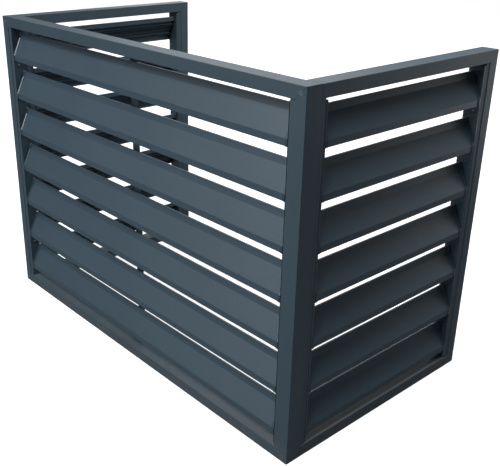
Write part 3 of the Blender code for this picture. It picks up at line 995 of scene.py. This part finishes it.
@dataclass
class Louvres:
    """One panel's fixed blades."""

    palette: Palette
    panel: Panel
    blade: Blade = field(default_factory=Blade)

    def build(self) -> None:
        """Builds and dresses the blades."""
        panel = self.panel
        for number in range(1, panel.blade_count + 1):
            node = panel.blade_node(number)
            box = panel.box(node)
            foot = Matrix.Translation((0, 0, box[0].z))
            coat = self.palette.blade[panel.run]
            panel.mount(f"{panel.name}_louvre_{number}", self.blade.mesh(box), foot, coat, Slot.BLADE, node)


@dataclass
class Channel:
    """The folded channels at the ends of a panel's opening."""

    palette: Palette
    panel: Panel
    wall: float = 1.5 * MM
    fold_radius: float = 1.4 * MM
    fold_steps: int = 4

    def mesh(self, low: Vector, high: Vector, end: int) -> Mesh:
        """A channel in its panel's frame: its web faces the blades and its legs reach for the stile.

        Args:
            low: The CAD channel's lowest corner.
            high: Its highest corner.
            end: The sign of the end it stands at.

        Returns:
            The channel's mesh.
        """
        web, tip = (low.x, high.x) if end > 0 else (high.x, low.x)
        path = [(tip, low.y, low.z), (web, low.y, low.z), (web, high.y, low.z), (tip, high.y, low.z)]
        shape = swept(path, Vector((0, 0, high.z - low.z)))
        for depth in (low.y, high.y):
            fold = edges_at(shape, Vector((web, depth, (low.z + high.z) / 2)))
            round_off(shape, fold, self.fold_radius, self.fold_steps)
        thicken(shape, Vector((tip - web, 0, 0)), self.wall)
        return shape

    def build(self) -> None:
        """Builds and dresses both channels."""
        for name, end in self.panel.ends.items():
            node = f"{name}_channel"
            shape = self.mesh(*self.panel.box(node), end)
            self.panel.mount(f"{name}_upright", shape, Matrix(), self.palette.channel, Slot.CHANNEL, node)


@dataclass
class ClipStrip:
    """The moulded strips on the channels: a clip round each blade's end, with two pegs in its grooves."""

    palette: Palette
    panel: Panel
    blade: Blade = field(default_factory=Blade)
    clip_thickness: float = 6.5 * MM
    proud: float = 2 * MM
    waist: float = 4.5 * MM
    reach: float = 7.8 * MM
    lobe_half: float = 5 * MM
    lobe_radius: float = 2 * MM
    crest_radius: float = 2.4 * MM
    foot_radius: float = 1 * MM
    notch_radius: float = 0.5 * MM
    corner_steps: int = 5
    corner_room: float = 0.48
    rim: float = 1.7 * MM
    slope: float = 2.1 * MM
    plate_edge: float = 0.3 * MM
    peg_bite: float = 8 * MM
    peg_rim: float = 0.7 * MM
    peg_steps: int = 3
    peg_sides: int = 16

    def outline(self, corners: Section) -> list[tuple[Vector, float]]:
        """The clip's outline: just outside the blade in front, with a lobe behind each peg.

        Args:
            corners: The blade's outer corners.

        Returns:
            Each corner and the radius of its rounding.
        """
        blade = self.blade
        front = sideways(corners, -self.proud)
        length = (corners[2] - corners[1]).length
        half, notch, lobe = self.lobe_half, self.notch_radius, self.lobe_radius
        outline = [
            (front[0], notch),
            (front[1], blade.nose_radius + self.proud),
            (front[2], blade.bend_radius),
            (front[3], self.crest_radius),
            (front[4], self.crest_radius),
            (front[5] - Vector((0, self.proud)), self.foot_radius),
            (blade.face_point(corners, length, self.waist), self.foot_radius),
        ]
        lobes = ((half, self.waist, notch), (half / 2, self.reach, lobe))
        lobes += ((-half / 2, self.reach, lobe), (-half, self.waist, notch))
        for share in blade.groove_shares:
            for along, inwards, radius in lobes:
                outline.append((blade.face_point(corners, share * length + along, inwards), radius))
        outline.append((corners[0] + Vector((blade.wall + self.proud, 0)), self.foot_radius))
        return outline

    def clip(self, corners: Section, end: int) -> Mesh:
        """One clip, from X = 0 inwards and from the blade's foot up.

        Args:
            corners: The blade's outer corners.
            end: The sign of the end the strip stands at.

        Returns:
            The clip's mesh.
        """
        shape = bmesh.new()
        outline = self.outline(corners)
        points = [shape.verts.new((0, *spot)) for spot, _ in outline]
        shape.faces.new(points)
        for number, (spot, radius) in enumerate(outline):
            before, after = outline[number - 1][0], outline[(number + 1) % len(outline)][0]
            room = min((spot - before).length, (spot - after).length) * self.corner_room
            reach = min(corner_reach(before, spot, after, radius), room)
            round_off(shape, [points[number]], reach, self.corner_steps, "VERTICES")
        inwards = Vector((-end, 0, 0))
        brim = move_region(shape, shape.faces[:], inwards * (self.clip_thickness - self.slope))
        bmesh.ops.inset_region(shape, faces=brim, thickness=self.rim, use_even_offset=True)
        inner = list({corner for side in brim for corner in side.verts})
        bmesh.ops.translate(shape, verts=inner, vec=inwards * self.slope)
        return shape

    def build(self) -> None:
        """Builds and dresses both strips."""
        panel, blade = self.panel, self.blade
        for name, end in panel.ends.items():
            low, high = panel.box(f"{name}_channel")
            strip_low, strip_high = panel.box(f"{name}_clip_strip")
            back = (low.x if end > 0 else high.x) - end * FIT_GAP
            face = back - end * panel.strip_wall
            shape = bmesh.new()
            size = Vector((panel.strip_wall, high.y - low.y, strip_high.z - strip_low.z))
            middle = Vector(((back + face) / 2, (low.y + high.y) / 2, (strip_low.z + strip_high.z) / 2))
            slab(shape, size, Matrix.Translation(middle), self.plate_edge)
            for number in range(1, panel.blade_count + 1):
                box = panel.box(panel.blade_node(number))
                corners = blade.corners(box)
                foot = box[0].z
                join(shape, self.clip(corners, end), Matrix.Translation((face, 0, foot)))
                for share in blade.groove_shares:
                    along = share * (corners[2] - corners[1]).length
                    depth, level = blade.face_point(corners, along, blade.wall + FIT_GAP + blade.peg_radius)
                    length = self.clip_thickness + self.peg_bite
                    peg = pin(blade.peg_radius, length, self.peg_rim, self.peg_steps, self.peg_sides)
                    join(shape, peg, Matrix.Translation((face, depth, foot + level)) @ turn(-90 * end, "Y"))
            strip = f"{name}_clip_strip"
            panel.mount(f"{name}_clips", shape, Matrix(), self.palette.nylon, Slot.NYLON, strip)


# Screws, the middle bar and what is inside

@dataclass
class Recess:
    """The cross-shaped drive recess in a screw's head."""

    slot: float = 1.1 * MM
    reach: float = 2.1 * MM
    depth: float = 1.3 * MM
    taper: float = 0.62

    def sink(self, shape: Mesh, level: float) -> None:
        """Sinks the recess into the flat face at this height along Z.

        Args:
            shape: The screw's mesh, with its axis along Z at the origin.
            level: The height of the face.
        """
        for axis in (Vector((1, 0, 0)), Vector((0, 1, 0))):
            for place in (-self.reach, -self.slot / 2, self.slot / 2, self.reach):
                top = [face for face in shape.faces if abs(face.calc_center_median().z - level) < TOUCH]
                parts = {part for face in top for part in (face, *face.edges, *face.verts)}
                bmesh.ops.bisect_plane(shape, geom=list(parts), plane_co=axis * place, plane_no=axis)
        crossed = [face for face in shape.faces if self.holds(face.calc_center_median(), level)]
        move_region(shape, crossed, Vector((0, 0, -self.depth)), self.taper)

    def holds(self, spot: Vector, level: float) -> bool:
        """True for a point of the cross on the head's face."""
        across, along = sorted((abs(spot.x), abs(spot.y)))
        return abs(spot.z - level) < TOUCH and across < self.slot / 2 and along < self.reach


@dataclass
class CornerScrews:
    """Countersunk screws, flush in the front face, that hold the side panels."""

    palette: Palette
    head: float = 4.2 * MM
    head_rim: float = 0.25 * MM
    head_depth: float = 2.2 * MM
    shank: float = 2.2 * MM
    point: float = 3 * MM
    point_share: float = 0.2
    spin: float = 20.0
    sides: int = 32
    recess: Recess = field(default_factory=Recess)

    def build(self) -> None:
        """Builds and dresses the four screws."""
        for corner in CORNERS:
            node = f"{corner}_screw"
            low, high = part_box(node)
            middle, length = (low + high) / 2, high.y - low.y
            steps = [
                (self.head_rim, self.head),
                (self.head_depth - self.head_rim, self.shank),
                (length - self.point - self.head_depth, self.shank),
                (self.point, self.shank * self.point_share),
            ]
            shape = turned(self.head, steps, self.sides)
            self.recess.sink(shape, 0.0)
            place = Matrix.Translation((middle.x, low.y, middle.z)) @ turn(90, "X") @ turn(self.spin, "Z")
            mount(f"{corner}_corner_screw", shape, place, self.palette.corner_screw, Slot.STEEL, node)


@dataclass
class ChannelScrews:
    """Pan-head screws that hold a channel and its strip to the stile behind, two a channel.

    The drops are how far each stands below the foot of a blade.
    """

    palette: Palette
    panel: Panel
    head: float = 3.6 * MM
    height: float = 2.2 * MM
    crown: float = 1.3 * MM
    crown_steps: int = 5
    depth: float = 14.3 * MM
    drops: tuple[tuple[int, float], ...] = ((1, 14.5 * MM), (6, 20.5 * MM))
    spin: float = 35.0
    sides: int = 32
    recess: Recess = field(default_factory=lambda: Recess(slot=0.9 * MM, reach=1.7 * MM, depth=1.1 * MM))

    def build(self) -> None:
        """Builds and dresses the panel's four screws."""
        panel = self.panel
        for name, end in panel.ends.items():
            low, high = panel.box(f"{name}_channel")
            web = low.x if end > 0 else high.x
            face = web - end * (FIT_GAP + panel.strip_wall)
            for number, (blade, drop) in enumerate(self.drops, start=1):
                shape = pin(self.head, self.height, self.crown, self.crown_steps, self.sides)
                self.recess.sink(shape, self.height)
                level = panel.box(panel.blade_node(blade))[0].z - drop
                place = Matrix.Translation((face, self.depth, level)) @ turn(-90 * end, "Y")
                place @= turn(self.spin * number, "Z")
                steel = self.palette.channel_screw
                panel.mount(f"{name}_channel_screw_{number}", shape, place, steel, Slot.STEEL)


@dataclass
class MiddleBar:
    """The flat upright bar behind the middle of the front blades."""

    palette: Palette
    edge: float = 0.5 * MM
    edge_steps: int = 3
    tongue: float = 12 * MM
    tongue_reach: float = 6 * MM

    def build(self) -> None:
        """Builds and dresses the bar."""
        node = "front_middle_bar"
        low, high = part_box(node)
        middle, size = Matrix.Translation((low + high) / 2), high - low
        bar = Vector((size.x, size.y, size.z - 2 * self.tongue_reach))
        shape = bmesh.new()
        slab(shape, bar, Matrix(), self.edge, self.edge_steps)
        slab(shape, Vector((self.tongue, size.y - 2 * self.edge, size.z)), Matrix(), self.edge / 2)
        mount("front_flat_bar", shape, middle, self.palette.frame[Run.ALONG_Z], Slot.FRAME, node)


@dataclass
class InnerFittings:
    """The cleats and plugs that keep their CAD shape inside the tubes."""

    palette: Palette

    def build(self) -> None:
        """Dresses the CAD nodes."""
        finishes = {"cleat": self.palette.aluminium, "plug": self.palette.nylon}
        for name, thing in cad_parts.items():
            material = finishes.get(name.rpartition("_")[2])
            if material:
                thing.material_slots[0].material = material
                LOG.info("%s: dressed", name)


# Studio

@dataclass(frozen=True)
class Camera:
    """The view of the photograph, in pixels of a 500 x 466 image and metres."""

    image: tuple[int, int] = (500, 466)
    focal: float = 753.8
    centre: Pair = (222.2, 222.3)
    location: Triple = (1.3832, -1.2206, 1.0490)
    turn: Triple = (67.4255, -0.7140, 48.7871)
    sensor: float = 36.0
    clip: Pair = (0.05, 60)

    def build(self) -> None:
        """Makes the camera and sets it as the scene's."""
        data = bpy.data.cameras.new("photo_view")
        wide, high = self.image
        data.sensor_width = self.sensor
        data.lens = self.focal * self.sensor / wide
        data.shift_x = (wide / 2 - self.centre[0]) / wide
        data.shift_y = (self.centre[1] - high / 2) / wide
        data.clip_start, data.clip_end = self.clip
        view = put("photo_view", data)
        view.location = self.location
        view.rotation_euler = [math.radians(angle) for angle in self.turn]
        bpy.context.scene.camera = view


@dataclass(frozen=True)
class Softbox:
    """A rectangular studio lamp that looks at a point."""

    title: str
    spot: Triple
    target: Triple
    size: tuple[float, float]
    watts: float

    def build(self) -> None:
        """Makes the lamp."""
        data = bpy.data.lights.new(self.title, "AREA")
        data.shape = "RECTANGLE"
        data.size, data.size_y = self.size
        data.energy = self.watts
        lamp = put(self.title, data)
        lamp.location = self.spot
        lamp.rotation_euler = (Vector(self.target) - Vector(self.spot)).to_track_quat("-Z", "Y").to_euler()


@dataclass
class Studio:
    """A pale floor, a white surround and soft lamps.

    To the camera the floor glows a little near the screen and fully far out, so that it ends in white.
    """

    floor_size: float = 7.0
    floor_sides: int = 64
    floor_colour: Colour = (0.62, 0.63, 0.64)
    floor_bounce: Colour = (0.28, 0.25, 0.245)
    floor_mirror: Colour = (0.15, 0.18, 0.20)
    near_glow: float = 0.62
    near_edge: float = 0.9
    far_edge: float = 3.5
    sky: float = 0.05
    back: float = 0.33
    behind: Triple = (-0.62, 0.78, 0.12)
    back_edges: Pair = (0.4, 0.85)
    lamps: tuple[Softbox, ...] = (
        Softbox("key_box", (1.09, -3.46, 4.61), (0, -0.1, 0.4), (1.8, 1.8), 188.0),
        Softbox("high_box", (-1.95, -3.47, 4.29), (0, -0.1, 0.4), (2.2, 2.2), 130.0),
        Softbox("fill_box", (-1.96, -4.95, 2.1), (0, -0.1, 0.4), (2.9, 2.9), 62.0),
        Softbox("open_top_box", (0.5, 0.6, 2.2), (-0.5, 0.1, 0.6), (1.2, 1.2), 33.0),
        Softbox("back_box", (-2.35, 2.2, 1.38), (0, -0.1, 0.4), (1.6, 1.4), 11.0),
        Softbox("rear_box", (1.35, 1.62, 0.65), (0.55, 0.25, 0.4), (1.2, 1.0), 1.2),
        Softbox("rear_low_box", (1.1, 2.0, 0.35), (0.5, 0.2, 0.4), (0.6, 0.6), 2.0),
        Softbox("edge_box", (0.51, -3.3, 2.05), (-0.5, -0.3, 0.6), (0.35, 0.9), 10.0),
    )

    def build_floor(self) -> None:
        """Lays the floor, which is white to the camera but keeps the screen's shadow."""
        shape = bmesh.new()
        bmesh.ops.create_circle(shape, cap_ends=True, segments=self.floor_sides, radius=self.floor_size)
        floor = put("floor", bake("floor", shape, Matrix()))
        material = bpy.data.materials.new("studio_floor")
        material.use_nodes = True
        bench = Bench(material.node_tree)
        bench.tree.nodes.remove(bench.tree.nodes["Principled BSDF"])
        light = bench.node("ShaderNodeLightPath").outputs
        seen = light["Is Camera Ray"]
        bounced = bench.blend(light["Is Glossy Ray"], self.floor_bounce, self.floor_mirror)
        matt = bench.node("ShaderNodeBsdfDiffuse", {"Color": bench.blend(seen, bounced, self.floor_colour)})
        place = bench.node("ShaderNodeTexCoord").outputs["Object"]
        away = bench.node("ShaderNodeVectorMath", {0: place}, operation="LENGTH").outputs["Value"]
        glowing = bench.spread(away, self.near_glow, 1.0, self.near_edge, self.far_edge)
        glow = bench.node("ShaderNodeEmission", {"Strength": bench.times(seen, glowing)})
        both = bench.node("ShaderNodeAddShader", {0: matt.outputs[0], 1: glow.outputs[0]}).outputs[0]
        bench.feed(bench.tree.nodes["Material Output"].inputs["Surface"], both)
        floor.data.materials.append(material)

    def build_world(self) -> None:
        """Makes the surround: white to the camera, and brighter behind the screen than before it."""
        world = bpy.data.worlds.new("surround")
        bpy.context.scene.world = world
        world.use_nodes = True
        bench = Bench(world.node_tree)
        way = bench.node("ShaderNodeTexCoord").outputs["Generated"]
        feeds = {0: way, 1: Vector(self.behind).normalized()}
        facing = bench.node("ShaderNodeVectorMath", feeds, operation="DOT_PRODUCT").outputs[1]
        level = bench.spread(facing, self.sky, self.back, *self.back_edges)
        seen = bench.node("ShaderNodeLightPath").outputs["Is Camera Ray"]
        unseen = bench.times(level, bench.maths("SUBTRACT", 1.0, seen))
        ground = bench.tree.nodes["Background"]
        bench.feed(ground.inputs["Strength"], bench.plus(unseen, seen))
        bench.feed(ground.inputs["Color"], (1, 1, 1))

    def build(self) -> None:
        """Makes the floor, the surround and the lamps."""
        self.build_floor()
        self.build_world()
        for lamp in self.lamps:
            lamp.build()
        bpy.context.scene.view_settings.view_transform = "Standard"


def main() -> None:
    """Builds the screen's looks and the studio."""
    logging.basicConfig(level=logging.INFO, format="%(name)s: %(message)s")
    palette = Palette()
    for facing in Facing:
        panel = Panel(facing)
        for kind in (TubeFrame, Channel, ClipStrip, Louvres, ChannelScrews):
            kind(palette, panel).build()
    for kind in (CornerScrews, MiddleBar, InnerFittings):
        kind(palette).build()
    Camera().build()
    Studio().build()


if __name__ == "__main__":
    main()
